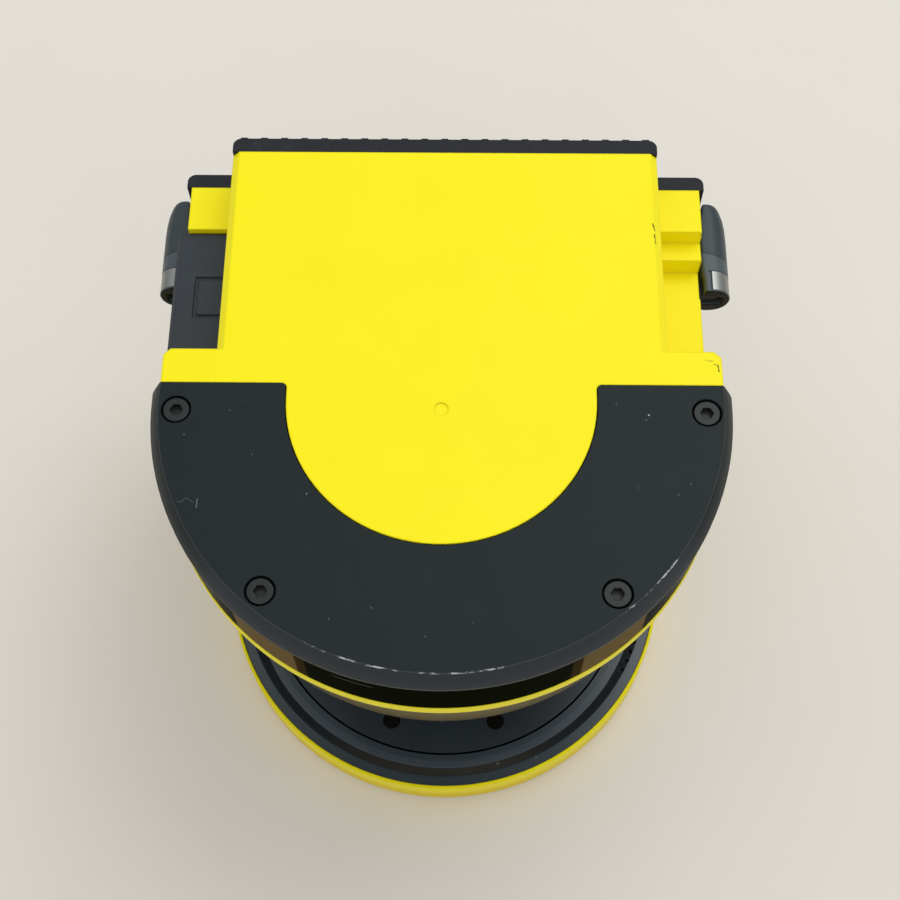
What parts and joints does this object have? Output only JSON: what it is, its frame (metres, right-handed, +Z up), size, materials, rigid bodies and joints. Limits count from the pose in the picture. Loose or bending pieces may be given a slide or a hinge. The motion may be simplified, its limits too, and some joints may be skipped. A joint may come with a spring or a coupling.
{
  "type": "safety laser scanner",
  "caption": "Compact laser scanner head with a round cap, a conical scan window, a flat top with a glossy camera band, side levers and a finned rear casting.",
  "frame": {"origin": "on the axis of the spinning mirror, where the round cap meets the surface that it stands on", "axes": "+Z up along the mirror's axis, -Y the curved front that looks into the scanned field, +X to the right seen from the front"},
  "size_m": [0.1378, 0.1302, 0.1234],
  "materials": {
    "yellow_moulding": "satin",
    "black_moulding": "satin",
    "smoked_plastic": "polished",
    "window_plastic": "polished",
    "seal_rubber": "matte",
    "blackened_steel": "satin",
    "zinc_steel": "satin",
    "lever_moulding": "satin",
    "clip_steel": "brushed",
    "bearing_steel": "polished",
    "cast_aluminium": "anodised",
    "bare_aluminium": "satin",
    "dark_aluminium": "anodised",
    "mirror_glass": "polished",
    "clear_glass": "polished",
    "copper_wire": "lacquered",
    "magnet": "matte",
    "etched_steel": "satin",
    "circuit_board": "satin",
    "camera_moulding": "satin",
    "spacer_brass": "satin",
    "heat_pad": "matte"
  },
  "bodies": {
    "scanner": {"base_cap": "yellow_moulding", "bearing_spacer": "bearing_steel", "board_screws": "zinc_steel", "board_spacers": "spacer_brass", "camera_band": "smoked_plastic", "cap_ring": "black_moulding", "cap_screws": "blackened_steel", "carrier_screws": "zinc_steel", "collimator_lens": "clear_glass", "column_screws": "zinc_steel", "connector_pins": "spacer_brass", "cover_plate": "black_moulding", "cover_screws": "blackened_steel", "detector": "bare_aluminium", "detector_board": "circuit_board", "encoder_sensor": "black_moulding", "front_window": "window_plastic", "head_housing": "yellow_moulding", "heat_sink_screws": "zinc_steel", "laser_driver_board": "circuit_board", "laser_module": "bare_aluminium", "left_camera": "camera_moulding", "left_camera_board": "circuit_board", "lever_pins": "clip_steel", "lower_bearing": "bearing_steel", "main_board": "circuit_board", "motor_coils": "copper_wire", "motor_screws": "zinc_steel", "motor_stator": "zinc_steel", "neck_column": "black_moulding", "optics_carrier": "dark_aluminium", "plate_gasket": "seal_rubber", "power_board": "circuit_board", "power_components": "camera_moulding", "processor": "camera_moulding", "rear_heat_sink": "cast_aluminium", "receiver_lens": "clear_glass", "right_camera": "camera_moulding", "right_camera_board": "circuit_board", "sensor_disc": "black_moulding", "sensor_ring_board": "circuit_board", "service_connector": "black_moulding", "soiling_sensors": "smoked_plastic", "spindle_housing": "bare_aluminium", "thermal_pad": "heat_pad", "upper_bearing": "bearing_steel", "window_seal_lower": "seal_rubber", "window_seal_upper": "seal_rubber"},
    "rotor": {"rotor_bell": "zinc_steel", "rotor_magnets": "magnet", "rotor_shaft": "bearing_steel", "encoder_disc": "etched_steel", "mirror_carrier": "bare_aluminium", "scan_mirror": "mirror_glass"},
    "right_arm": {"right_lever": "lever_moulding", "right_lever_clip": "clip_steel"},
    "left_arm": {"left_lever": "lever_moulding", "left_lever_clip": "clip_steel"},
    "cover": {"connector_cover": "black_moulding"}
  },
  "joints": [
    {"name": "mirror_spin", "type": "hinge", "parent": "scanner", "child": "rotor", "pos_m": [0, 0, 0], "axis": [0, 0, 1], "continuous": true},
    {"name": "right_lever_swing", "type": "hinge", "parent": "scanner", "child": "right_arm", "pos_m": [0.0648, 0.0437, 0.0953], "axis": [0, 0, -1], "range_deg": [0, 70]},
    {"name": "left_lever_swing", "type": "hinge", "parent": "scanner", "child": "left_arm", "pos_m": [-0.0648, 0.0437, 0.0953], "axis": [0, 0, 1], "range_deg": [0, 70]},
    {"name": "cover_lift", "type": "slide", "parent": "scanner", "child": "cover", "axis": [0, 0, 1], "range_m": [0, 0.012]}
  ]
}
